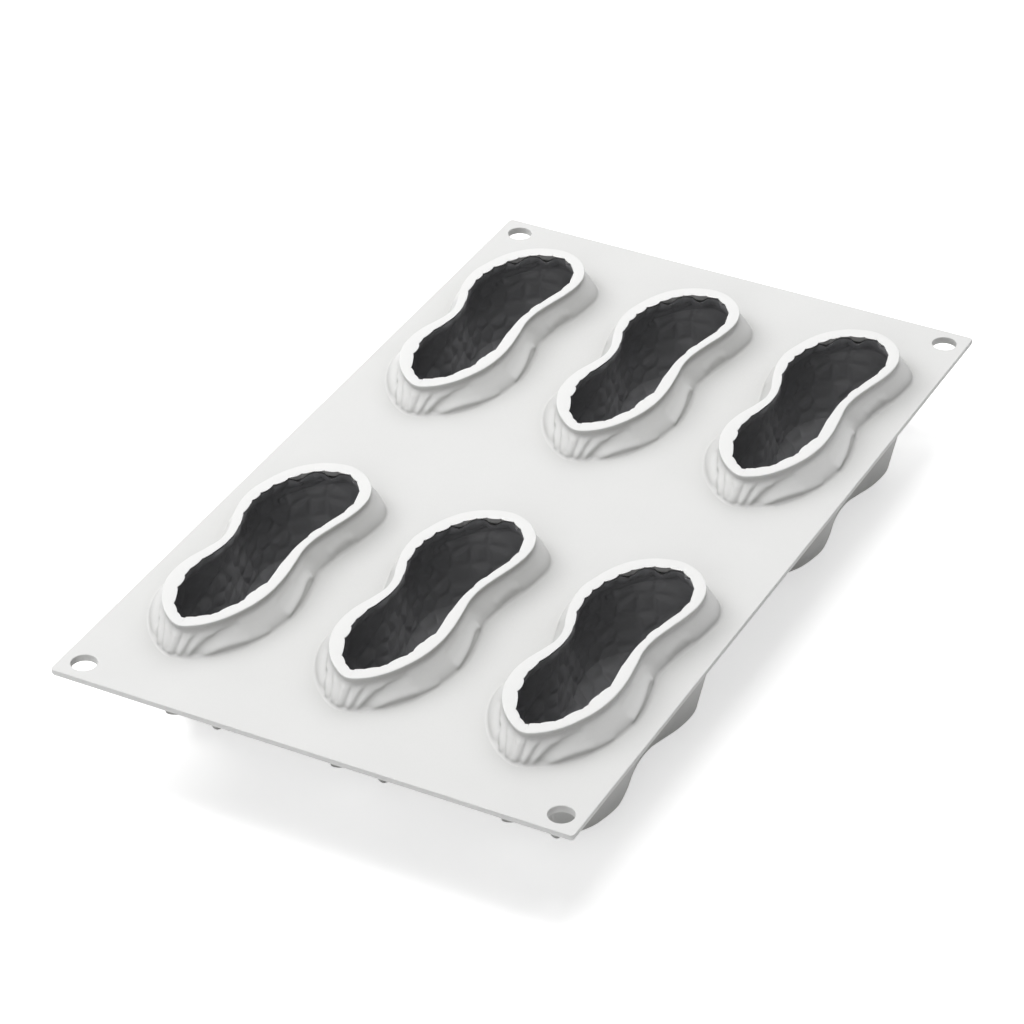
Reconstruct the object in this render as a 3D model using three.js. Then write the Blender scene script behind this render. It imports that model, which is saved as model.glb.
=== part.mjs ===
import * as THREE from 'three'

// Silicone dessert mould: one thin sheet that carries six peanut shaped cups in three
// columns and two rows. Each cup stands up as a collar above the sheet, hangs as a round
// bowl below it, and has a dark lining that gives the dessert its shape.
// Lengths are in millimetres and +Z is up. The origin lies on the level that the cups
// stand on, under the middle of the sheet. X runs along the short side.

// Cup, overall
const cupHalfWidth = 21.8
const cupHalfLength = 54
const cupDepth = 38

// Collar above the sheet
const rimHeight = 9
const rimBand = 1.8
const rimEdgeRound = 0.6
const rimLipWidth = 4.2
const flarePower = 1.45

// Bowl below the sheet
const heelHeight = 7
const heelPower = 1.2
const spineShare = 0.6
const standingTrim = 0.3
const waistRise = 2.5
const waistSpread = 10
const waistPlaceShare = 0.06

// Walls
const cupWall = 1.8
const liningWall = 1.1
const liningDrop = 0.4
const fitGap = 0.3

// Sheet
const sheetThickness = 2.5
const sheetCornerRadius = 1.5
const lowerEdgeBevel = 1.2
const spacingAcross = 14.4
const spacingAlong = 42
const sideMargin = 7.7
const endMargin = 21
const cornerHoleRadius = 4
const cornerHoleInset = 7.5

// Layout
const columnNames = ['left', 'middle', 'right']
const rowNames = ['front', 'back']

// Smoothness, in counts
const pointsAround = 32
const pointsPerHole = 24
const cornerSegments = 4
const flareSteps = 3
const flankSteps = 3

// One line for each place round a cup, from its front tip by the right side to the back
// tip and home by the left side. It gives three outlines, each across and then along, as
// shares of the cup's half width and half length. The first pair is the rim's outer edge,
// and after it stands the width of the rim as a share of rimLipWidth. The next pair is the
// widest outline, at the sheet, and the last is the heel, where the flank turns under.
const cupOutlineShares = [
  [-0.02, -0.90, 0.88, -0.04, -0.98, -0.05, -0.76],
  [0.30, -0.83, 0.86, 0.41, -0.90, 0.39, -0.73],
  [0.54, -0.68, 0.95, 0.73, -0.74, 0.63, -0.64],
  [0.69, -0.51, 0.98, 0.92, -0.55, 0.75, -0.53],
  [0.74, -0.32, 0.86, 0.99, -0.34, 0.81, -0.34],
  [0.70, -0.13, 0.81, 0.93, -0.13, 0.70, -0.14],
  [0.63, 0.06, 0.67, 0.81, 0.06, 0.63, 0.05],
  [0.66, 0.23, 0.57, 0.83, 0.23, 0.66, 0.23],
  [0.78, 0.42, 0.64, 0.93, 0.42, 0.79, 0.41],
  [0.84, 0.59, 0.71, 1.00, 0.61, 0.83, 0.58],
  [0.78, 0.74, 0.71, 0.98, 0.78, 0.73, 0.70],
  [0.55, 0.87, 0.81, 0.73, 0.94, 0.53, 0.79],
  [0.16, 0.93, 1.00, 0.22, 1.02, 0.14, 0.82],
  [-0.28, 0.87, 1.00, -0.33, 0.97, -0.30, 0.80],
  [-0.57, 0.74, 1.00, -0.71, 0.83, -0.59, 0.71],
  [-0.73, 0.58, 0.98, -0.93, 0.64, -0.78, 0.60],
  [-0.81, 0.40, 0.86, -1.00, 0.43, -0.83, 0.42],
  [-0.72, 0.20, 0.76, -0.89, 0.21, -0.73, 0.21],
  [-0.58, 0.04, 0.69, -0.77, 0.04, -0.61, 0.03],
  [-0.56, -0.10, 0.64, -0.76, -0.11, -0.61, -0.11],
  [-0.69, -0.26, 0.79, -0.90, -0.27, -0.73, -0.27],
  [-0.75, -0.44, 1.00, -0.97, -0.46, -0.79, -0.44],
  [-0.67, -0.62, 1.05, -0.84, -0.66, -0.69, -0.61],
  [-0.39, -0.80, 0.90, -0.50, -0.86, -0.43, -0.73],
]

// Rings that close a bowl under its heel. The first value is how much of the way from the
// spine to the heel a ring lies, and the second how much of the heel's depth it is down.
const outerSoleShares = [[0.42, 1], [0.6, 0.85], [0.8, 0.57], [0.93, 0.28]]
const innerSoleShares = [[0.42, 1], [0.68, 0.76], [0.9, 0.36]]

// Heights above the standing level
const sheetTop = cupDepth
const sheetUnderside = sheetTop - sheetThickness
const rimTop = sheetTop + rimHeight
const creaseHeight = rimTop - rimBand

// Places of the cups and overall size of the sheet
const columnPitch = 2 * cupHalfWidth + spacingAcross
const rowPitch = 2 * cupHalfLength + spacingAlong
const sheetHalfWidth = columnPitch + cupHalfWidth + sideMargin
const sheetHalfLength = rowPitch / 2 + cupHalfLength + endMargin
const columnCentres = [-columnPitch, 0, columnPitch]
const rowCentres = [-rowPitch / 2, rowPitch / 2]

const whiteSilicone = { color: 0xf1f1f0, roughness: 0.55, metalness: 0 }
const charcoalSilicone = { color: 0x444445, roughness: 0.6, metalness: 0 }

// The three outlines as smooth closed curves. The rim's curve carries the width of the
// rim as its third coordinate.
const smoothCurve = (pickRow) => new THREE.CatmullRomCurve3(cupOutlineShares.map((row) => {
  const [across, along, lip = 0] = pickRow(row)
  return new THREE.Vector3(across * cupHalfWidth, along * cupHalfLength, lip * rimLipWidth)
}), true)
const rimCurve = smoothCurve((row) => row.slice(0, 3))
const sheetCurve = smoothCurve((row) => row.slice(3, 5))
const heelCurve = smoothCurve((row) => row.slice(5, 7))
const stations = Array.from({ length: pointsAround }, (_, index) => {
  const planPoint = (curve) => {
    const point = curve.getPoint(index / pointsAround)
    return new THREE.Vector2(point.x, point.y)
  }
  return {
    rim: planPoint(rimCurve),
    lip: rimCurve.getPoint(index / pointsAround).z,
    sheet: planPoint(sheetCurve),
    heel: planPoint(heelCurve),
  }
})

// The four faces of a cup and its lining, from the outside in. A face lies inside the
// outer surface by the cup's wall, if it counts that, and by a further depth.
const outerFace = { countsWall: false, further: 0 }
const cupInnerFace = { countsWall: true, further: 0 }
const liningOuterFace = { countsWall: true, further: fitGap }
const liningInnerFace = { countsWall: true, further: fitGap + liningWall }

// The cup's wall is as wide as the rim at the top and thins to its own value at the sheet.
function wallAt(station, height) {
  const lift = THREE.MathUtils.clamp((height - sheetTop) / rimHeight, 0, 1)
  return THREE.MathUtils.lerp(cupWall, station.lip, lift)
}

// Moves a closed ring of plan points inwards, each by its own distance.
function insetRing(ring, distances) {
  return ring.map((point, index) => {
    const before = ring.at(index - 1)
    const after = ring[(index + 1) % ring.length]
    const along = after.clone().sub(before).normalize()
    const inwards = new THREE.Vector2(-along.y, along.x)
    return point.clone().addScaledVector(inwards, distances[index])
  })
}

// Plan of one face at a height between the heel and the rim. The collar leans in from the
// sheet to the crease under the rim, the wall is upright in the sheet, and the flank of the
// bowl leans in again down to the heel.
function planAt(height, face) {
  const rise = (height - sheetTop) / (creaseHeight - sheetTop)
  const sink = (sheetUnderside - height) / (sheetUnderside - heelHeight)
  const towardsRim = THREE.MathUtils.clamp(rise, 0, 1) ** flarePower
  const towardsHeel = THREE.MathUtils.clamp(sink, 0, 1) ** heelPower
  const ring = stations.map(({ rim, sheet, heel }) =>
    sheet.clone().lerp(rim, towardsRim).lerp(heel, towardsHeel))
  const distances = stations.map((station) =>
    (face.countsWall ? wallAt(station, height) : 0) + face.further)
  return insetRing(ring, distances)
}

function ringAt(height, face, extraInset = 0) {
  const plan = insetRing(planAt(height, face), stations.map(() => extraInset))
  return plan.map((point) => new THREE.Vector3(point.x, point.y, height))
}

// Depth of the sole below the heel, along the spine that its sides close on. It is cut
// flat under both lobes, where the cup stands, and rises under the waist.
function soleDepthAt(along) {
  const fromWaist = (along - waistPlaceShare * cupHalfLength) / waistSpread
  const waist = waistRise * Math.exp(-(fromWaist ** 2))
  return Math.min(heelHeight, heelHeight + standingTrim - waist)
}

// Rings of a bowl from its bottom up to the underside of the sheet.
function bowlRings(face, soleShares) {
  const inset = (face.countsWall ? cupWall : 0) + face.further
  const heelPlan = planAt(heelHeight, face)
  const soleRings = soleShares.map(([outwards, downwards]) => heelPlan.map((edge) => {
    const spine = new THREE.Vector2(0, edge.y * spineShare)
    const point = spine.clone().lerp(edge, outwards)
    const height = heelHeight - (soleDepthAt(spine.y) - inset) * downwards
    return new THREE.Vector3(point.x, point.y, height)
  }))
  const flankRings = Array.from({ length: flankSteps }, (_, step) =>
    ringAt(THREE.MathUtils.lerp(heelHeight, sheetUnderside, step / flankSteps), face))
  return [...soleRings, ...flankRings]
}

// Joins a row of rings into one closed body. Going up and going down, each four sided
// patch is split along the same line, so that two faces with a gap between them stay
// parallel. Both end rings are closed by a strip from the front tip to the back tip.
function bodyFromRings(rings) {
  const positions = rings.flat().flatMap((point) => [point.x, point.y, point.z])
  const triangles = []
  for (let level = 0; level + 1 < rings.length; level += 1) {
    const goesDown = rings[level + 1][0].z < rings[level][0].z
    const first = level * pointsAround
    const second = first + pointsAround
    for (let index = 0; index < pointsAround; index += 1) {
      const next = (index + 1) % pointsAround
      if (goesDown) {
        triangles.push(first + index, first + next, second + index)
        triangles.push(first + next, second + next, second + index)
      } else {
        triangles.push(first + index, first + next, second + next)
        triangles.push(first + index, second + next, second + index)
      }
    }
  }
  const addCap = (first, facesDown) => {
    const addTriangle = (a, b, c) => {
      triangles.push(first + a, first + (facesDown ? c : b), first + (facesDown ? b : c))
    }
    for (let right = 0; right < pointsAround / 2; right += 1) {
      const left = (pointsAround - right) % pointsAround
      const nextRight = right + 1
      const nextLeft = pointsAround - nextRight
      if (nextRight !== nextLeft) addTriangle(right, nextRight, nextLeft)
      if (left !== right) addTriangle(left, right, nextLeft)
    }
  }
  addCap(0, true)
  addCap((rings.length - 1) * pointsAround, false)
  const geometry = new THREE.BufferGeometry()
  geometry.setAttribute('position', new THREE.Float32BufferAttribute(positions, 3))
  geometry.setIndex(triangles)
  geometry.computeVertexNormals()
  return geometry
}

// White wall of one cup, from the flats that it stands on, up the outside, over the rim
// and down the inside. It is upright where it passes through the sheet.
function makeCup() {
  const collarRings = Array.from({ length: flareSteps + 1 }, (_, step) =>
    ringAt(THREE.MathUtils.lerp(sheetTop, creaseHeight, step / flareSteps), outerFace))
  return bodyFromRings([
    ...bowlRings(outerFace, outerSoleShares),
    ringAt(sheetUnderside, outerFace),
    ...collarRings,
    ringAt(rimTop - rimEdgeRound, outerFace),
    ringAt(rimTop, outerFace, rimEdgeRound),
    ringAt(rimTop, cupInnerFace),
    ringAt(creaseHeight, cupInnerFace),
    ringAt(sheetTop, cupInnerFace),
    ...bowlRings(cupInnerFace, innerSoleShares).reverse(),
  ])
}

// Dark lining that follows the inside of the cup and ends just below the top of the rim.
function makeLining() {
  const liningTop = rimTop - liningDrop
  return bodyFromRings([
    ...bowlRings(liningOuterFace, innerSoleShares),
    ringAt(sheetTop, liningOuterFace),
    ringAt(creaseHeight, liningOuterFace),
    ringAt(liningTop, liningOuterFace),
    ringAt(liningTop, liningInnerFace),
    ringAt(creaseHeight, liningInnerFace),
    ringAt(sheetTop, liningInnerFace),
    ...bowlRings(liningInnerFace, innerSoleShares).reverse(),
  ])
}

// Flat sheet with a peanut shaped opening for each cup and a round hole in each corner.
// Its outer edge is drawn in on the underside.
function makeSheet() {
  const outline = new THREE.Shape()
  const right = sheetHalfWidth - sheetCornerRadius
  const back = sheetHalfLength - sheetCornerRadius
  const quarter = Math.PI / 2
  outline.absarc(right, -back, sheetCornerRadius, -quarter, 0)
  outline.absarc(right, back, sheetCornerRadius, 0, quarter)
  outline.absarc(-right, back, sheetCornerRadius, quarter, 2 * quarter)
  outline.absarc(-right, -back, sheetCornerRadius, 2 * quarter, 3 * quarter)
  const outlinePoints = outline.getPoints(cornerSegments)

  const cupPlan = insetRing(planAt(sheetTop, outerFace), stations.map(() => -fitGap))
  const openings = []
  for (const across of columnCentres) {
    for (const along of rowCentres) {
      const centre = new THREE.Vector2(across, along)
      openings.push(new THREE.Path(cupPlan.map((point) => point.clone().add(centre))))
    }
  }
  const holeAcross = sheetHalfWidth - cornerHoleInset
  const holeAlong = sheetHalfLength - cornerHoleInset
  for (const side of [-1, 1]) {
    for (const end of [-1, 1]) {
      const hole = Array.from({ length: pointsPerHole }, (_, index) => {
        const angle = (2 * Math.PI * index) / pointsPerHole
        return new THREE.Vector2(
          side * holeAcross + cornerHoleRadius * Math.cos(angle),
          end * holeAlong + cornerHoleRadius * Math.sin(angle),
        )
      })
      openings.push(new THREE.Path(hole))
    }
  }
  const sheet = new THREE.Shape(outlinePoints)
  sheet.holes = openings
  const geometry = new THREE.ExtrudeGeometry(sheet, {
    depth: sheetThickness, steps: 2, bevelEnabled: false, curveSegments: 1,
  })
  const places = geometry.attributes.position
  const bevelledWidthShare = (sheetHalfWidth - lowerEdgeBevel) / sheetHalfWidth
  const bevelledLengthShare = (sheetHalfLength - lowerEdgeBevel) / sheetHalfLength
  for (let index = 0; index < places.count; index += 1) {
    const onEdge = Math.abs(places.getX(index)) >= right || Math.abs(places.getY(index)) >= back
    if (!onEdge || places.getZ(index) > 0) continue
    places.setX(index, places.getX(index) * bevelledWidthShare)
    places.setY(index, places.getY(index) * bevelledLengthShare)
  }
  return geometry
}

const mould = new THREE.Group()

const sheetMesh = new THREE.Mesh(makeSheet(), new THREE.MeshStandardMaterial(whiteSilicone))
sheetMesh.name = 'mould_sheet'
sheetMesh.position.z = sheetUnderside
mould.add(sheetMesh)

rowNames.forEach((rowName, row) => {
  columnNames.forEach((columnName, column) => {
    const place = new THREE.Group()
    place.position.set(columnCentres[column], rowCentres[row], 0)
    const cup = new THREE.Mesh(makeCup(), new THREE.MeshStandardMaterial(whiteSilicone))
    cup.name = `cup_${rowName}_${columnName}`
    const lining = new THREE.Mesh(makeLining(), new THREE.MeshStandardMaterial(charcoalSilicone))
    lining.name = `lining_${rowName}_${columnName}`
    place.add(cup, lining)
    mould.add(place)
  })
})

export default mould
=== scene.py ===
import math

import bmesh
import bpy
import numpy as np
from mathutils import Matrix, Vector


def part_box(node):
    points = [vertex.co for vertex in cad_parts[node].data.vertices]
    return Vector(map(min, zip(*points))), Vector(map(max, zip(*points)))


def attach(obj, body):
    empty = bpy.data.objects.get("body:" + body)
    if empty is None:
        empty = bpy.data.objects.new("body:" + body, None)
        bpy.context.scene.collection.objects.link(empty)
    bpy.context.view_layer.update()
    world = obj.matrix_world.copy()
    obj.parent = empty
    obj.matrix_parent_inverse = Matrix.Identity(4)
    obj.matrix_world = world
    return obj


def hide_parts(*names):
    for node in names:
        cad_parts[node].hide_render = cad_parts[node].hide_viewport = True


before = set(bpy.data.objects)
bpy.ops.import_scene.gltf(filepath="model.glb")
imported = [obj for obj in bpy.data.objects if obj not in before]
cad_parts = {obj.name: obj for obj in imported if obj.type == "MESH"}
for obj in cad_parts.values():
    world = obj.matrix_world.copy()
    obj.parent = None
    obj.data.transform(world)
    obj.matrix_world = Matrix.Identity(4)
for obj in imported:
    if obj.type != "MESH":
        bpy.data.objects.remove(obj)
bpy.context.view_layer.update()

# White sheet. In the real mould it is one moulding of soft white silicone with the six cups.
# It lies flat between them, its lower outer edge is rounded, and each corner has a round
# hole to hang it by.
mm = 0.001
sheet_low, sheet_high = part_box("mould_sheet")
sheet_underside, sheet_top = sheet_low.z, sheet_high.z
sheet_corner_radius = 1.5 * mm
sheet_upper_round = 0.25 * mm
sheet_lower_round = 1.3 * mm
corner_hole_radius = 4 * mm
corner_hole_inset = 7.5 * mm
corner_hole_round = 0.3 * mm
fillet_reach = 0.9 * mm
points_per_corner = 10
points_per_hole = 96
points_round_cup = 480
round_steps = 6
weld = 0.0005 * mm
level_slack = 0.005 * mm
level_normal_share = 0.999
cup_names = sorted(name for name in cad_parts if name.startswith("cup_"))
first_cup = cup_names[0]
cup_boxes = {name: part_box(name) for name in cup_names}
lean = sum((low + high for low, high in cup_boxes.values()), start=sheet_low * 0) / 2 / len(cup_names)
cup_places = {name: (low + high) / 2 - lean for name, (low, high) in cup_boxes.items()}


def outlines_at(node, level):
    """The outlines of a CAD cup at one of its own levels, the widest first, as places from
    the middle of the cup. Each starts at the front tip and runs back by the right side."""
    solid = bmesh.new()
    solid.from_mesh(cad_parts[node].data)
    bmesh.ops.remove_doubles(solid, verts=solid.verts, dist=weld)

    def lies_level(item):
        return all(abs(vertex.co.z - level) < level_slack for vertex in item.verts)

    neighbours = {}
    for edge in solid.edges:
        if lies_level(edge) and not all(lies_level(face) for face in edge.link_faces):
            for vertex in edge.verts:
                neighbours.setdefault(vertex, []).append(edge.other_vert(vertex))
    outlines = []
    while neighbours:
        loop = [next(iter(neighbours))]
        while True:
            onward = [vertex for vertex in neighbours.pop(loop[-1]) if vertex in neighbours]
            if not onward:
                break
            loop.append(onward[0])
        points = np.array([vertex.co.xy - cup_places[node].xy for vertex in loop])
        following = np.roll(points, -1, axis=0)
        if np.sum(points[:, 0] * following[:, 1] - points[:, 1] * following[:, 0]) < 0:
            points = points[::-1]
        outlines.append(np.roll(points, -np.argmin(points[:, 1]), axis=0))
    solid.free()
    return sorted(outlines, key=lambda points: -np.ptp(points[:, 0]))


def smooth_ring(points, count):
    """A smooth closed curve through points, as a given count of points."""
    steps = np.arange(count) * len(points) / count
    first = steps.astype(int)
    part = (steps - first)[:, None]
    before, start, end, after = (np.roll(points, shift, axis=0)[first] for shift in (1, 0, -1, -2))
    return start + 0.5 * part * (
        end - before + part * (2 * before - 5 * start + 4 * end - after
                               + part * (3 * start - before - 3 * end + after)))


def inset_ring(ring, distance):
    """A ring of plan points moved inwards."""
    along = np.roll(ring, -1, axis=0) - np.roll(ring, 1, axis=0)
    inwards = np.stack([-along[:, 1], along[:, 0]], axis=1)
    inwards /= np.linalg.norm(inwards, axis=1)[:, None]
    return ring + inwards * np.reshape(distance, (-1, 1))


def run_along(outline):
    """How far along a closed outline each of its points is, and the length of it all."""
    steps = np.linalg.norm(np.roll(outline, -1, axis=0) - outline, axis=1)
    return np.cumsum(steps) - steps, steps.sum()


def at_level(plan, height):
    """Plan points with a height, or a height each."""
    return np.column_stack([plan, np.broadcast_to(height, len(plan))])


def grow_skin(mesh, rings):
    """Extrudes a circle of vertices from ring to ring. Returns the edges of its two ends."""
    station = mesh.verts.layers.int.get("station") or mesh.verts.layers.int.new("station")
    circle = bmesh.ops.create_circle(mesh, segments=len(rings[0]), radius=1)["verts"]
    for index, vertex in enumerate(circle):
        vertex[station] = index
        vertex.co = rings[0][index]
    first = last = list({edge for vertex in circle for edge in vertex.link_edges})
    for ring in rings[1:]:
        grown = bmesh.ops.extrude_edge_only(mesh, edges=last)["geom"]
        for item in grown:
            if isinstance(item, bmesh.types.BMVert):
                item.co = ring[item[station]]
        last = [item for item in grown if isinstance(item, bmesh.types.BMEdge)]
    return first, last


def add_piece(name, mesh, material, replaced):
    """Makes an object of a bmesh, to ride on the mould's one body in place of its CAD node."""
    data = bpy.data.meshes.new(name)
    mesh.to_mesh(data)
    piece = bpy.data.objects.new(name, data)
    bpy.context.scene.collection.objects.link(piece)
    data.materials.append(material)
    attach(piece, "root")
    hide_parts(replaced)


def linear(colour):
    """An sRGB hex colour as the linear colour that a shader takes."""
    channels = [int(colour[index:index + 2], 16) / 255 for index in (1, 3, 5)]
    return [c / 12.92 if c <= 0.04045 else ((c + 0.055) / 1.055) ** 2.4 for c in channels] + [1]


def clear_nodes(shading):
    """Turns on the nodes of a new material or world, and clears them."""
    shading.use_nodes = True
    shading.node_tree.nodes.clear()
    return shading


def add_node(shading, kind, settings, links=None):
    """Adds a shader node, sets its properties and inputs, and links its inputs. An input
    that shares its name with another goes by its number."""
    node = shading.node_tree.nodes.new(kind)
    for key, value in settings.items():
        if isinstance(key, int) or key in node.inputs:
            node.inputs[key].default_value = value
        else:
            setattr(node, key, value)
    for key, output in (links or {}).items():
        shading.node_tree.links.new(output, node.inputs[key])
    return node


# White silicone, moulded in a satin blasted tool: an even, slightly warm white that is dull
# up close, with broad soft highlights. The walls that stand up from the sheet and the bowls
# under it are painted a little lighter than the flat, as painted light. An ambient occlusion
# node paints grey shade into the colour where the surface is hemmed in, so the feet of the
# collars look duller than the open rims. The real grain is about 0.05 mm, too fine to show
# here, and it is drawn seven times coarser.
white_silicone = clear_nodes(bpy.data.materials.new("white_moulded_silicone"))
white_grain = 0.35 * mm
white_cloud = 22 * mm
# Painted light: from these heights over or under the sheet's top, the colour turns lighter.
painted_light_start = 0.2 * mm
painted_light_full = 3 * mm
# Painted shade: how far and how strongly the ambient occlusion darkens the colour in hollows.
painted_shade_reach = 42 * mm
painted_shade_power = 1.7
places = add_node(white_silicone, "ShaderNodeTexCoord", {})
clouds = add_node(white_silicone, "ShaderNodeTexNoise",
                  {"Scale": 1 / white_cloud, "Detail": 3.0, "Roughness": 0.5},
                  {"Vector": places.outputs["Object"]})
grain = add_node(white_silicone, "ShaderNodeTexNoise",
                 {"Scale": 1 / white_grain, "Detail": 2.0, "Roughness": 0.6},
                 {"Vector": places.outputs["Object"]})
flat_tint = add_node(white_silicone, "ShaderNodeMix",
                     {"data_type": "RGBA", "A": linear("#d9d9d8"), "B": linear("#dededd")},
                     {"Factor": clouds.outputs["Fac"]})
axes = add_node(white_silicone, "ShaderNodeSeparateXYZ", {}, {"Vector": places.outputs["Object"]})
level = add_node(white_silicone, "ShaderNodeMath", {"operation": "SUBTRACT", 1: sheet_top},
                 {0: axes.outputs["Z"]})
standing = add_node(white_silicone, "ShaderNodeMath", {"operation": "ABSOLUTE"},
                    {0: level.outputs["Value"]})
# Painted light: the colour turns lighter with the height over or under the sheet's top, so the walls and
# bowls look lit.
painted_light_lift = add_node(white_silicone, "ShaderNodeMapRange",
                {"From Min": painted_light_start, "From Max": painted_light_full},
                {"Value": standing.outputs["Value"]})
tint = add_node(white_silicone, "ShaderNodeMix", {"data_type": "RGBA", "B": linear("#e4e4e3")},
                {"Factor": painted_light_lift.outputs["Result"], "A": flat_tint.outputs["Result"]})
# Painted shade: an ambient occlusion node mixes a grey into the colour where the surface is hemmed in.
painted_shade_openness = add_node(white_silicone, "ShaderNodeAmbientOcclusion",
                    {"samples": 8, "Distance": painted_shade_reach})
painted_shade_clearness = add_node(white_silicone, "ShaderNodeMath", {"operation": "POWER", 1: painted_shade_power},
                     {0: painted_shade_openness.outputs["AO"]})
painted_hollow_shade = add_node(white_silicone, "ShaderNodeMix", {"data_type": "RGBA", "A": linear("#aaaaa8")},
                   {"Factor": painted_shade_clearness.outputs["Value"], "B": tint.outputs["Result"]})
dullness = add_node(white_silicone, "ShaderNodeMapRange",
                    {"From Min": 0.3, "From Max": 0.7, "To Min": 0.5, "To Max": 0.6},
                    {"Value": grain.outputs["Fac"]})
blasting = add_node(white_silicone, "ShaderNodeBump", {"Strength": 0.12, "Distance": 0.03 * mm},
                    {"Height": grain.outputs["Fac"]})
surface = add_node(white_silicone, "ShaderNodeBsdfPrincipled", {"IOR": 1.41},
                   {"Base Color": painted_hollow_shade.outputs["Result"], "Roughness": dullness.outputs["Result"],
                    "Normal": blasting.outputs["Normal"]})
add_node(white_silicone, "ShaderNodeOutputMaterial", {}, {"Surface": surface.outputs["BSDF"]})


def rounded_rectangle(half_width, half_length, radius, inset):
    """Plan points of a rectangle with round corners, drawn in by an inset."""
    quarter = np.linspace(0, math.pi / 2, points_per_corner)
    points = []
    for turn, (side, end) in enumerate(((1, 1), (-1, 1), (-1, -1), (1, -1))):
        angles = quarter + turn * math.pi / 2
        points += [((half_width - radius) * side + (radius - inset) * math.cos(angle),
                    (half_length - radius) * end + (radius - inset) * math.sin(angle))
                   for angle in angles]
    return np.array(points)


def edge_profile(upper_round, lower_round):
    """Insets and heights down the edge of the sheet, round at its top and its bottom."""
    turn = np.linspace(0, math.pi / 2, round_steps)
    upper = [(upper_round * (1 - math.sin(a)), sheet_top - upper_round * (1 - math.cos(a))) for a in turn]
    lower = [(lower_round * (1 - math.cos(a)), sheet_underside + lower_round * (1 - math.sin(a)))
             for a in turn]
    return upper + lower


sheet_mesh = bmesh.new()
half_width, half_length = sheet_high.x, sheet_high.y
top_edges, bottom_edges = [], []


def edge_sheet(rings):
    """Adds one edge of the sheet, and keeps its upper and lower ends to fill between."""
    upper, lower = grow_skin(sheet_mesh, rings)
    top_edges.extend(upper)
    bottom_edges.extend(lower)


edge_sheet([at_level(rounded_rectangle(half_width, half_length, sheet_corner_radius, inset), height)
            for inset, height in edge_profile(sheet_upper_round, sheet_lower_round)])
circle_turn = np.linspace(0, 2 * math.pi, points_per_hole, endpoint=False)
for side in (-1, 1):
    for end in (-1, 1):
        middle = np.array([side * (half_width - corner_hole_inset), end * (half_length - corner_hole_inset)])
        edge_sheet([at_level(middle + (corner_hole_radius + inset)
                             * np.column_stack([np.cos(circle_turn), np.sin(circle_turn)]), height)
                    for inset, height in edge_profile(corner_hole_round, corner_hole_round)])
sheet_outline = smooth_ring(outlines_at(first_cup, sheet_underside)[0], points_round_cup)
sheet_run, sheet_length = run_along(sheet_outline)

# The foot of each cup is drawn in at its back right, and stands out a little at its right
# waist. For each: its place along the outline from the front tip, its spread and its depth,
# in mm. A depth below zero stands out.
foot_dips = [(116, 8, 1.5), (58, 12, -0.5)]


def dips_along(run, dips):
    """How deep the dips of a table are at each station, each a smooth swell."""
    return sum(depth * mm * np.exp(-((run - place * mm) / (spread * mm)) ** 2)
               for place, spread, depth in dips)


sheet_outline = inset_ring(sheet_outline, dips_along(sheet_run, foot_dips))
cup_opening = inset_ring(sheet_outline, -fillet_reach)
for place in cup_places.values():
    edge_sheet([at_level(cup_opening + place.xy, height) for height in (sheet_top, sheet_underside)])
# The fill needs coordinates larger than metres give, so the sheet is filled in millimetres.
bmesh.ops.scale(sheet_mesh, verts=sheet_mesh.verts, vec=[1 / mm] * 3)
for edges, upward in ((top_edges, 1), (bottom_edges, -1)):
    bmesh.ops.triangle_fill(sheet_mesh, use_beauty=True, edges=edges, normal=(0, 0, upward))
bmesh.ops.scale(sheet_mesh, verts=sheet_mesh.verts, vec=[mm] * 3)
bmesh.ops.recalc_face_normals(sheet_mesh, faces=sheet_mesh.faces)
for face in sheet_mesh.faces:
    face.smooth = abs(face.normal.z) < level_normal_share
add_piece("white_sheet", sheet_mesh, white_silicone, "mould_sheet")

# Cups. Each is a wall of the same white silicone: a collar that stands on the sheet, with a
# flat rim and a fluted front tip, and below the sheet a round bowl with a flat under each lobe
# and two short ribs low on its front. A soft fillet on both sides joins it to the sheet.
cup_low, cup_high = cup_boxes[first_cup]
rim_top = cup_high.z
standing_level = cup_low.z
rim_side_depth = 0.6 * mm
rim_edge_round = 0.35 * mm
rim_band = 1.8 * mm
crease_depth = 0.35 * mm
crease_height = 2 * mm
inner_edge_round = 0.12 * mm
flare_power = 1.45
flare_ease_share = 0.7
heel_height = 7 * mm
heel_power = 1.2
heel_crowding = 1.6
sole_outward_power = 1.5
sole_downward_power = 0.74
spine_share = 0.6
sole_flat_share = 0.42
standing_trim = 0.3 * mm
rib_fade_share = 0.15
waist_rise = 2.5 * mm
waist_spread = 10 * mm
waist_place = 3.2 * mm
cup_wall = 1.8 * mm
lining_wall = 1.1 * mm
lip_thickness = 0.4 * mm
lip_step = 0.3 * mm
tooth_fade_power = 3
lip_reach = 2.8 * mm
hard_edge_angle = math.radians(50)
sole_rows = 22
flank_rows = 30
fillet_rows = 9
collar_rows = 30
cove_rows = 20
lip_rows = 14
inner_collar_rows = 8
inner_flank_rows = 12
inner_sole_rows = 12
rim_outline = smooth_ring(outlines_at(first_cup, rim_top - rim_side_depth)[0], points_round_cup)
heel_level = standing_level + heel_height
heel_outline = smooth_ring(outlines_at(first_cup, heel_level)[0], points_round_cup)
rim_level = rim_top - rim_band
rim_run, rim_length = run_along(rim_outline)

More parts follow.
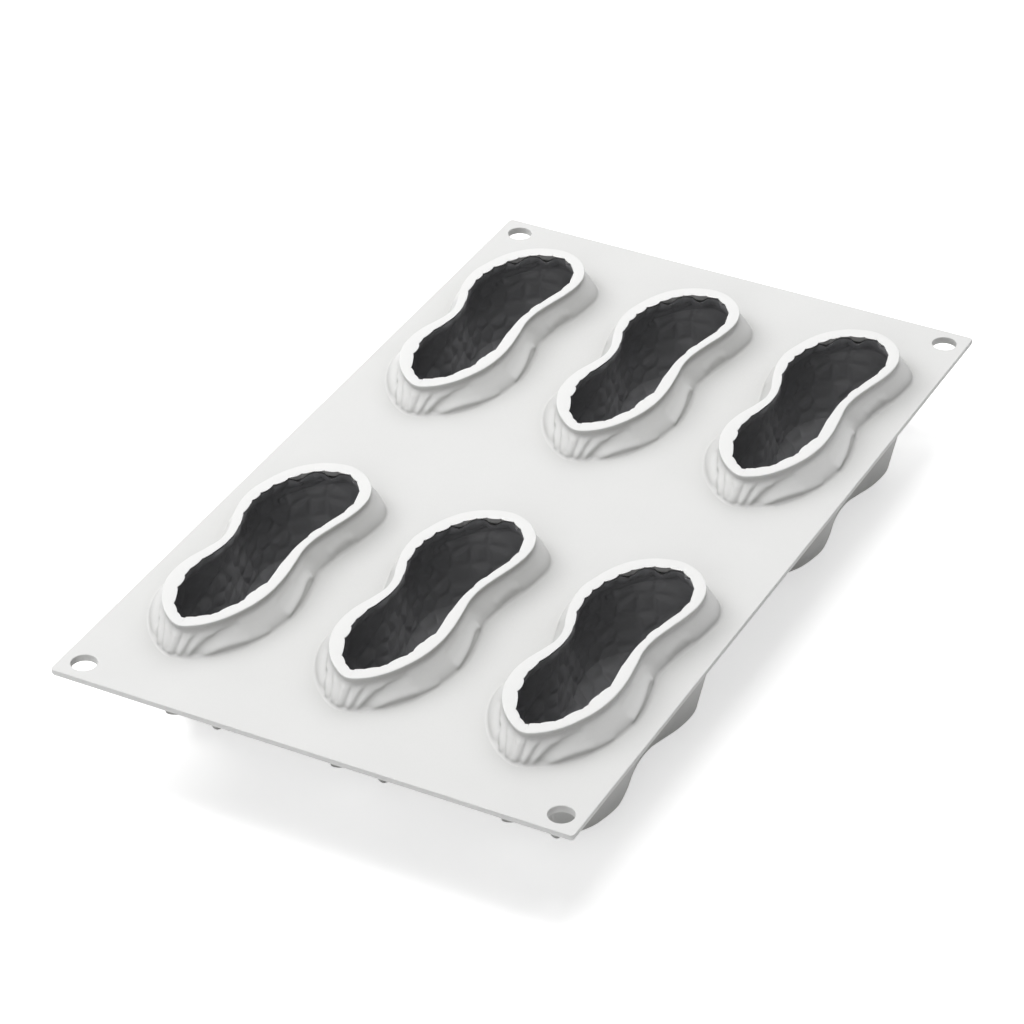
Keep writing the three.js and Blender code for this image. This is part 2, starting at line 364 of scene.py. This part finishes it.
# The rim's inner edge is ragged where it cuts the shell: round teeth with sharp notches
# between them. For each notch: its place along the rim, the width of the rim there, and how
# far the tooth that follows stands out, in mm.
rim_teeth = [
    (0, 4.15, 0.5), (6.3, 4.2, 0.55), (11.9, 3.6, 0.25), (15.2, 3.6, 0.7), (22.9, 3.48, 0.35),
    (25.8, 3.6, 0.75), (32.1, 4.2, 0.5), (37.8, 3.38, 0.25), (49.5, 3.82, 0), (57.5, 2.98, 0),
    (64.5, 2.45, 0.45), (70.5, 2.6, 0.25), (81.9, 2.8, 0.45), (87.8, 2.98, 0.55), (96.3, 3.58, 0.45),
    (104, 3.88, 0.65), (109.6, 3.58, 0.85), (116.4, 4.38, 0.7), (122.1, 4.3, 0.45), (126.5, 4.3, 0.5),
    (131.7, 4.2, 0.7), (137.1, 3.9, 1.1), (143.6, 3.35, 1.05), (150, 3.4, 0.95), (155.5, 3.15, 0.8),
    (163.5, 2.7, 0.5), (171, 2.85, 0), (178, 2.68, 0), (185.5, 3.55, 0.15), (190.4, 3.68, 0.5),
    (197, 4.08, 0.3), (201.7, 4.42, 1.1), (209.3, 4.2, 0.9), (219.2, 3.3, 0.5), (224.4, 3.28, 0.35),
    (228.2, 3.25, 0.25),
]
tooth_power = 0.5


def rim_widths():
    """Width of the rim at each station without its teeth, and how far each tooth stands out."""
    places, widths, teeth = (np.array(column) * mm for column in zip(*rim_teeth))
    tooth = np.searchsorted(places, rim_run, side="right") - 1
    following = np.append(places, rim_length)[tooth + 1]
    across = np.clip((rim_run - places[tooth]) / (following - places[tooth]), 0, 1)
    notch_width = np.interp(rim_run, np.append(places, rim_length), np.append(widths, widths[0]))
    return notch_width, teeth[tooth] * np.sin(math.pi * across) ** tooth_power


rim_width, tooth_reach = rim_widths()

# At three places at the back the white reaches further down over the dark lining. For each:
# its place along the rim, its spread and its depth, in mm.
lining_dips = [(119.2, 3.0, 2.4), (132.3, 2.8, 2.2), (107.5, 1.6, 1.2)]
lining_dip = dips_along(rim_run, lining_dips)

# The shell's ribs show through on the collar: flutes that fan out from the front tip, a long
# groove beside them, and soft ridges along the sheet. Each has its height, its half width and
# its course: how far along the sheet's outline from the tip, and how high over the sheet, in mm.
collar_ribs = [
    (-0.55, 1.3, [(-13.5, 3.6), (-11, 1.9), (-9, 0.9)]),
    (0.35, 1.2, [(-15.1, 5.6), (-12, 4.4), (-8.9, 2.9), (-7, 1.2)]),
    (-0.4, 0.8, [(-9.8, 6), (-7, 3.7), (-4.8, 1.4)]),
    (0.3, 0.9, [(-7.6, 6), (-5.1, 4.2), (-3.4, 1.6)]),
    (-0.3, 0.7, [(-3.6, 6), (-2.3, 4.4), (-1.6, 2)]),
    (0.3, 1.0, [(-0.4, 6.4), (-0.2, 1.8)]),
    (-0.45, 0.6, [(2.4, 6.6), (2.2, 4.4), (1.7, 1)]),
    (0.3, 0.8, [(5.8, 6.1), (4.6, 4.4), (3.2, 1.6)]),
    (-0.4, 0.7, [(8.2, 5.9), (6.1, 3.9), (4.5, 1.3)]),
    (0.35, 1.1, [(14, 5.6), (11.1, 5.4), (8.6, 3.9), (6.4, 1.9)]),
    (-0.85, 1.4, [(23, 5.8), (19.5, 5.3), (16.6, 4.6), (14.2, 4), (11.8, 3.2), (9.9, 2.4), (8, 1.2)]),
    (0.3, 1.0, [(11, 1.1), (12.4, 1.5), (14.9, 2), (18.6, 2.2), (22.4, 2), (26.7, 1.5), (33, 0.9)]),
    (0.25, 0.9, [(13, 1.6), (14.9, 2), (18.6, 2.2), (22.4, 2), (24.5, 1.8)]),
    (-0.3, 1.2, [(43, 4.8), (48, 5.3), (53, 5.6)]),
    (0.75, 1.0, [(43.4, 1.7), (47.5, 2.2), (51.2, 2.6), (55, 3), (58.7, 3.4), (61.2, 3.2), (63, 2.4)]),
    (-0.15, 0.7, [(53.8, 0.6), (58, 0.7), (62.5, 0.6)]),
    (-0.4, 2.2, [(66.5, 4.6), (68.5, 2.6)]),
    (0.3, 1.3, [(76.5, 2.8), (80, 3.4), (83.7, 3.7), (86, 3.1)]),
    (-0.15, 0.9, [(78.7, 1), (83, 1.1), (87.5, 1.2)]),
    (0.6, 1.4, [(-44, 2), (-50, 3), (-57, 4), (-61, 2.8)]),
    (-0.5, 1.0, [(-54, 1), (-60, 1.3), (-65, 1)]),
    (0.5, 1.3, [(-76, 2.8), (-82, 3.6), (-87, 3)]),
    (-0.6, 1.2, [(-24, 5.6), (-18, 4.4), (-13.5, 3.4)]),
    (0.35, 1.0, [(124, 5.8), (126.5, 3), (127.5, 1)]),
    (-0.35, 0.7, [(127.5, 5.8), (128.6, 3), (129, 1)]),
    (0.35, 0.9, [(131, 5.8), (131, 1)]),
    (-0.35, 0.7, [(134.5, 5.8), (133.4, 3), (133, 1)]),
    (0.35, 1.0, [(138, 5.8), (135.5, 3), (134.5, 1)]),
]

# Two short ribs low on the front of the bowl, which show under the sheet's front edge. Each is
# a long low one with a short one at its foot, given as the collar's are.
bowl_ribs = [
    (1.4, 1.4, [(-10.6, -20), (-10, -32)]),
    (2.3, 1.5, [(-10, -29), (-10, -32)]),
    (1.3, 2.2, [(9.2, -20), (9, -32)]),
    (2.2, 2.8, [(9, -29), (9, -32)]),
]


def raised_by(ribs, height):
    """How far ribs and grooves move the wall outwards at a height, at each station."""
    over_sheet = height - sheet_top
    raised = np.zeros(points_round_cup)
    for rib_height, half_width, course in ribs:
        nearest = np.full(points_round_cup, np.inf)
        for (run, rise), (next_run, next_rise) in zip(course, course[1:]):
            along = np.array([next_run - run, next_rise - rise]) * mm
            offset = (sheet_run - run * mm + sheet_length / 2) % sheet_length - sheet_length / 2
            from_start = np.column_stack([offset, np.full(points_round_cup, over_sheet - rise * mm)])
            share = np.clip(from_start @ along / (along @ along), 0, 1)
            distance = np.linalg.norm(from_start - share[:, None] * along, axis=1)
            nearest = np.minimum(nearest, distance)
        raised += rib_height * mm * np.exp(-(nearest / (half_width * mm)) ** 2)
    return raised


def plan_at(height, inset):
    """Plan of the cup's wall at a height between the heel and the rim, moved inwards."""
    lift = np.clip((height - sheet_top) / (rim_level - sheet_top), 0, 1)
    towards_rim = lift ** flare_power + flare_ease_share * (lift ** 2 * (3 - 2 * lift) - lift ** flare_power)
    towards_heel = np.clip((sheet_underside - height) / (sheet_underside - heel_level), 0, 1) ** heel_power
    upper = sheet_outline + (rim_outline - sheet_outline) * towards_rim
    return inset_ring(upper + (heel_outline - upper) * towards_heel, inset)


def spine_inside(edge):
    """The line along the middle of a bowl where its two sides meet, with a point for each
    point of its edge, and how far the waist between the two flats rises there."""
    mirrored = np.roll(edge[::-1], 1, axis=0)
    spine_along = spine_share * (edge[:, 1] + mirrored[:, 1]) / 2
    waist = waist_rise * np.exp(-((spine_along - waist_place) / waist_spread) ** 2)
    return np.column_stack([np.zeros(points_round_cup), spine_along]), waist


def shares_to_heel(rows):
    """Shares of the way out from the spine to the heel, closer together near the heel."""
    return 1 - np.linspace(1, 0, rows) ** heel_crowding


def sole_rings(shares, inset, raised=0):
    """Rings of the bowl under its heel, each a share of the way out from the spine. The
    ribs of the wall fade out just below the heel."""
    edge = plan_at(heel_level, inset)
    spine, waist = spine_inside(edge)
    depth = np.minimum(heel_height, heel_height + standing_trim - waist) - inset
    rings = []
    for share in shares:
        outwards = max(0, (share - sole_flat_share) / (1 - sole_flat_share))
        downwards = (1 - outwards ** sole_outward_power) ** sole_downward_power
        ribbed = inset_ring(edge, -raised * max(0, 1 - (1 - share) / rib_fade_share))
        rings.append(at_level(spine + (ribbed - spine) * share, heel_level - depth * downwards))
    return rings


def wall_ring(height, inset):
    """One ring of the wall at a height, moved inwards."""
    return at_level(plan_at(height, inset), height)


flank_heights = np.linspace(heel_level, sheet_underside - fillet_reach, flank_rows)[1:]
quarter_turn = np.linspace(0, math.pi / 2, fillet_rows)
collar_heights = np.linspace(sheet_top + fillet_reach, rim_level - crease_height, collar_rows)[1:]
cove_heights = np.linspace(rim_level - crease_height, rim_top - rim_edge_round, cove_rows)[1:]

# The outer face, from the spine up to the rim.
cup_rings = sole_rings(shares_to_heel(sole_rows), 0, raised_by(bowl_ribs, heel_level))
cup_rings += [wall_ring(height, -raised_by(bowl_ribs, height)) for height in flank_heights]
for angle in quarter_turn[1:]:
    height = sheet_underside - fillet_reach * (1 - math.sin(angle))
    cup_rings.append(wall_ring(height, -fillet_reach * (1 - math.cos(angle))))
for angle in quarter_turn:
    height = sheet_top + fillet_reach * (1 - math.cos(angle))
    part = (height - sheet_top) / fillet_reach
    cup_rings.append(wall_ring(height, -fillet_reach * (1 - math.sin(angle))
                               - part * raised_by(collar_ribs, height)))
for height in collar_heights:
    cup_rings.append(wall_ring(height, -raised_by(collar_ribs, height)))
for height in cove_heights:
    down = (rim_top - rim_edge_round - height) / (rim_band + crease_height - rim_edge_round)
    fade = np.clip((rim_level - height) / crease_height, 0, 1)
    cup_rings.append(wall_ring(height, crease_depth * math.sin(math.pi * down) ** 2
                               - fade * raised_by(collar_ribs, height)))
for angle in quarter_turn[1:]:
    inset = rim_edge_round * (1 - math.cos(angle))
    cup_rings.append(wall_ring(rim_top - rim_edge_round * (1 - math.sin(angle)), inset))
for angle in quarter_turn[::2]:
    inset = rim_width + tooth_reach - inner_edge_round * (1 - math.sin(angle))
    cup_rings.append(wall_ring(rim_top - inner_edge_round * (1 - math.cos(angle)), inset))


def inner_face(height):
    """How far the dessert's surface lies inside the wall's outer face at a height."""
    lift = np.clip((height - sheet_top) / (rim_top - sheet_top), 0, 1)
    shell = cup_wall + lining_wall
    return shell + (rim_width - shell) * lift + tooth_reach * lift ** tooth_fade_power


def white_face(height):
    """How far the white wall reaches in: under the lip it steps back behind the lining."""
    step = np.clip((rim_top - lip_thickness - lining_dip - height) / lip_step, 0, 1)
    return inner_face(height) - lining_wall * step


# The inner face, from the rim down to the spine.
for height in np.linspace(rim_top - 2 * inner_edge_round, rim_top - lip_reach, lip_rows):
    cup_rings.append(wall_ring(height, white_face(height)))
for height in np.linspace(rim_top - lip_reach, sheet_top, inner_collar_rows)[1:]:
    cup_rings.append(wall_ring(height, white_face(height)))
for height in np.linspace(sheet_underside, heel_level, inner_flank_rows):
    cup_rings.append(wall_ring(height, cup_wall))
cup_rings += sole_rings(shares_to_heel(inner_sole_rows)[-2::-1], cup_wall)


def close_skin(rings):
    """A closed solid between the rings, sewn along its spine, with its hard edges kept."""
    mesh = bmesh.new()
    grow_skin(mesh, rings)
    bmesh.ops.remove_doubles(mesh, verts=mesh.verts, dist=weld)
    bmesh.ops.recalc_face_normals(mesh, faces=mesh.faces)
    for face in mesh.faces:
        face.smooth = True
    for edge in mesh.edges:
        edge.smooth = edge.calc_face_angle(0) < hard_edge_angle
    return mesh


cup_mesh = close_skin(cup_rings)
for name, place in cup_places.items():
    copy = cup_mesh.copy()
    bmesh.ops.translate(copy, verts=copy.verts, vec=(place.x, place.y, 0))
    add_piece("white_" + name, copy, white_silicone, name)

# Linings. The charcoal silicone inside each cup, bonded to the white, gives the dessert its
# shell: rows of pads along its length with grooves between them, and a seam where the walls
# turn into the floor. It ends just under the rim, and dips at three places at the back.
lining_gap = 0.05 * mm
seam_height = 14.5 * mm
floor_flat_share = 0.15
floor_power = 1.1
pad_length = 7 * mm
pad_width = 5.2 * mm
pad_height = 0.8 * mm
pad_tilt = 0.9 * mm
pad_stagger_share = 0.45
pad_wander_share = 0.28
groove_width = 2.1 * mm
pads_start = 3 * mm
pads_end = 1 * mm
least_pad_share = 0.4
least_pads_in_row = 3
pad_seed = 7
no_length = 1e-12
back_collar_rows = 12
back_flank_rows = 8
back_sole_rows = 8

# Long ribs and grooves along the lining, given as the collar's are.
lining_ribs = [
    (0.9, 0.9, [(138, -1.2), (147, -2.2), (158, -3)]),
    (0.8, 1.0, [(199, -2.8), (205, -6.5), (210, -10), (215, -13)]),
    (-0.6, 1.6, [(160, -4), (175, -7), (190, -6)]),
    (0.7, 0.9, [(90, -3), (100, -4.5), (112, -4)]),
    (0.7, 0.9, [(30, -4), (42, -6), (52, -7)]),
    (-0.5, 1.5, [(236, -5), (246, -8), (254, -14)]),
]

# Charcoal silicone, moulded: a matt dark grey, with a fine dry grain. It sits deep in the
# cups, where little light comes, and looks nearly black there. The real grain is about
# 0.1 mm, too fine to show here, and it is drawn five times coarser.
charcoal_silicone = clear_nodes(bpy.data.materials.new("charcoal_moulded_silicone"))
charcoal_grain = 0.5 * mm
charcoal_cloud = 9 * mm
places = add_node(charcoal_silicone, "ShaderNodeTexCoord", {})
clouds = add_node(charcoal_silicone, "ShaderNodeTexNoise",
                  {"Scale": 1 / charcoal_cloud, "Detail": 3.0, "Roughness": 0.5},
                  {"Vector": places.outputs["Object"]})
grain = add_node(charcoal_silicone, "ShaderNodeTexNoise",
                 {"Scale": 1 / charcoal_grain, "Detail": 3.0, "Roughness": 0.6},
                 {"Vector": places.outputs["Object"]})
tint = add_node(charcoal_silicone, "ShaderNodeMix",
                {"data_type": "RGBA", "A": linear("#858587"), "B": linear("#8f8f91")},
                {"Factor": clouds.outputs["Fac"]})
dullness = add_node(charcoal_silicone, "ShaderNodeMapRange",
                    {"From Min": 0.3, "From Max": 0.7, "To Min": 0.5, "To Max": 0.65},
                    {"Value": grain.outputs["Fac"]})
pits = add_node(charcoal_silicone, "ShaderNodeBump", {"Strength": 0.3, "Distance": 0.06 * mm},
                {"Height": grain.outputs["Fac"]})
surface = add_node(charcoal_silicone, "ShaderNodeBsdfPrincipled", {"IOR": 1.41},
                   {"Base Color": tint.outputs["Result"], "Roughness": dullness.outputs["Result"],
                    "Normal": pits.outputs["Normal"]})
add_node(charcoal_silicone, "ShaderNodeOutputMaterial", {}, {"Surface": surface.outputs["BSDF"]})


lining_top = rim_top - lip_thickness - lip_step - lining_gap
seam_level = standing_level + seam_height


def lining_ring(height, inset):
    """One ring of the lining's wall: its top edge dips, and the dips fade out below it."""
    fade = np.clip((height - sheet_top) / (lining_top - sheet_top), 0, 1)
    return at_level(plan_at(height, inset), height - lining_dip * fade)


def lining_face(height):
    """How far in the lining's surface lies at a height, with its long ridges and grooves."""
    return inner_face(height) + lining_gap - raised_by(lining_ribs, height)


def lining_back():
    """Rings of the face that lies against the cup, from its top edge down to the spine."""
    rings = []
    for height in np.linspace(lining_top, sheet_top, back_collar_rows):
        rings.append(lining_ring(height, inner_face(height) - lining_wall + lining_gap))
    for height in np.linspace(sheet_underside, heel_level, back_flank_rows):
        rings.append(lining_ring(height, cup_wall + lining_gap))
    return rings + sole_rings(shares_to_heel(back_sole_rows)[-2::-1], cup_wall + lining_gap)


def lining_front(wall_rows, floor_rows):
    """Rings of the face that shapes the dessert, from its top edge down to the spine."""
    rings = [lining_ring(height, lining_face(height))
             for height in np.linspace(lining_top, seam_level, wall_rows)]
    edge = rings[-1][:, :2]
    spine, waist = spine_inside(edge)
    floor_level = standing_level + cup_wall + lining_wall + lining_gap + waist
    for share in np.linspace(1, 0, floor_rows)[1:]:
        outwards = max(0, (share - floor_flat_share) / (1 - floor_flat_share))
        rings.append(at_level(spine + (edge - spine) * share,
                              floor_level + (seam_level - floor_level) * outwards ** floor_power))
    return np.array(rings)


def pad_centres(rings, down):
    """Places of the shell's pads: rows of them, staggered, each a little out of line."""
    random = np.random.default_rng(pad_seed)
    centres = []
    for row, depth in enumerate(np.arange(pad_width / 2, down[-1], pad_width)):
        ring = rings[np.searchsorted(down, depth)]
        run, length = run_along(ring)
        count = max(least_pads_in_row, round(length / pad_length))
        for pad in range(count):
            along = (pad + row * pad_stagger_share + random.uniform(-1, 1) * pad_wander_share) / count
            lower = np.searchsorted(down, depth + random.uniform(-1, 1) * pad_wander_share * pad_width)
            place = rings[min(lower, len(rings) - 1)][np.searchsorted(run, along % 1 * length) - 1]
            centres.append((*place, random.uniform(least_pad_share, 1), *random.uniform(-1, 1, 3)))
    return np.array(centres)


def pads_on(rings):
    """Moves the rings to carry the shell's pads, each a tilted facet with grooves round it."""
    down = np.cumsum(np.linalg.norm(np.diff(rings, axis=0, prepend=rings[:1]), axis=2).mean(axis=1))
    centres = pad_centres(rings, down)
    along = np.roll(rings, -1, axis=1) - np.roll(rings, 1, axis=1)
    normal = np.cross(along, np.gradient(rings, axis=0))
    normal /= np.linalg.norm(normal, axis=2, keepdims=True) + no_length
    moved = []
    for depth, ring, outwards in zip(down, rings, normal):
        distance = np.linalg.norm(ring[:, None, :] - centres[None, :, :3], axis=2)
        nearest = np.argsort(distance, axis=1)[:, :2]
        first, second = np.take_along_axis(distance, nearest, axis=1).T
        pad = centres[nearest[:, 0]]
        tilt = np.sum((ring - pad[:, :3]) * pad[:, 4:], axis=1) / pad_length
        rise = 1 - np.exp(-((second - first) / groove_width) ** 2)
        fade = min(1, depth / pads_start, (down[-1] - depth) / pads_end)
        moved.append(ring + outwards * (fade * rise * (pad_height * pad[:, 3] + pad_tilt * tilt))[:, None])
    return np.array(moved)


front_face = pads_on(lining_front(wall_rows=90, floor_rows=30))
# The last ring lies on the spine, where both sides are sewn together.
front_face[-1, :, 0] = 0
lining_mesh = close_skin(lining_back()[::-1] + list(front_face))
for name, place in cup_places.items():
    copy = lining_mesh.copy()
    bmesh.ops.translate(copy, verts=copy.verts, vec=(place.x, place.y, 0))
    lining = name.replace("cup", "lining")
    add_piece("charcoal_" + lining, copy, charcoal_silicone, lining)

# Floor. A plain pale floor at the level that the mould stands on. It shows white round the
# mould's soft shadow.
floor_size = 1.8
floor_gap = 0.1 * mm
floor_glow = 0.6
floor_mesh = bmesh.new()
bmesh.ops.create_grid(floor_mesh, x_segments=1, y_segments=1, size=floor_size / 2)
bmesh.ops.translate(floor_mesh, verts=floor_mesh.verts, vec=(0, 0, standing_level - floor_gap))
floor_data = bpy.data.meshes.new("floor")
floor_mesh.to_mesh(floor_data)
floor = bpy.data.objects.new("floor", floor_data)
bpy.context.scene.collection.objects.link(floor)


def background_rays(shading):
    """A node that is 1 for the rays that show the background: those straight from the
    camera, those that glance off gloss and those that pass through glass."""
    rays = add_node(shading, "ShaderNodeLightPath", {})
    seen = add_node(shading, "ShaderNodeMath", {"operation": "MAXIMUM"},
                    {0: rays.outputs["Is Camera Ray"], 1: rays.outputs["Is Glossy Ray"]})
    return add_node(shading, "ShaderNodeMath", {"operation": "MAXIMUM"},
                    {0: seen.outputs["Value"], 1: rays.outputs["Is Transmission Ray"]})


# Matt floor paint, rolled on: an even pale ground without gloss, lifted to white for the eye.
floor_paint = clear_nodes(bpy.data.materials.new("pale_matt_floor"))
glow = add_node(floor_paint, "ShaderNodeMath", {"operation": "MULTIPLY", 1: floor_glow},
                {0: background_rays(floor_paint).outputs["Value"]})
floor_surface = add_node(floor_paint, "ShaderNodeBsdfPrincipled",
                         {"Base Color": linear("#f2f2f2"), "Roughness": 0.9,
                          "Specular IOR Level": 0.0, "Emission Color": linear("#ffffff")},
                         {"Emission Strength": glow.outputs["Value"]})
add_node(floor_paint, "ShaderNodeOutputMaterial", {}, {"Surface": floor_surface.outputs["BSDF"]})
floor_data.materials.append(floor_paint)

# Light. A dim even studio, which the camera sees as white, with a soft box overhead, one
# to the left, a weaker one behind, and a large one low in front.
studio_strength = 0.1
lamps_aim = Vector((0, 0, 0))
studio = clear_nodes(bpy.data.worlds.new("studio"))
bpy.context.scene.world = studio
strength = add_node(studio, "ShaderNodeMapRange", {"To Min": studio_strength, "To Max": 1.0},
                    {"Value": background_rays(studio).outputs["Value"]})
sky = add_node(studio, "ShaderNodeBackground", {"Color": linear("#ffffff")},
               {"Strength": strength.outputs["Result"]})
add_node(studio, "ShaderNodeOutputWorld", {}, {"Surface": sky.outputs["Background"]})


def add_soft_box(name, place, size, power):
    """A square lamp that faces the middle of the mould's foot."""
    lamp = bpy.data.lights.new(name, "AREA")
    lamp.size = size
    lamp.energy = power
    box = bpy.data.objects.new(name, lamp)
    box.location = place
    box.rotation_euler = (lamps_aim - box.location).to_track_quat("-Z", "Y").to_euler()
    bpy.context.scene.collection.objects.link(box)


add_soft_box("overhead_box", place=(0, 0, 1.5), size=0.8, power=11)
add_soft_box("left_box", place=(-1.0, -0.1, 1.1), size=0.8, power=10.5)
add_soft_box("back_box", place=(0, 1.0, 1.1), size=0.8, power=5.2)
add_soft_box("front_box", place=(0.15, -1.85, 0.75), size=1.2, power=8)

# Camera. It stands where the photograph was taken from: in front and to the right, 1.3 m
# away, looking down on the mould through a long lens.
camera_place = (0.49409, -0.97108, 0.77126)
camera_turn = math.radians(27.41)
camera_tilt_down = math.radians(34.19)
camera_roll = math.radians(-0.15)
camera_data = bpy.data.cameras.new("camera")
camera_data.sensor_width = 36
camera_data.lens = 145.57
camera = bpy.data.objects.new("camera", camera_data)
camera.matrix_world = (Matrix.Translation(camera_place)
                       @ Matrix.Rotation(camera_turn, 4, "Z")
                       @ Matrix.Rotation(math.pi / 2 - camera_tilt_down, 4, "X")
                       @ Matrix.Rotation(camera_roll, 4, "Z"))
bpy.context.scene.collection.objects.link(camera)
bpy.context.scene.camera = camera
bpy.context.scene.view_settings.view_transform = "Standard"
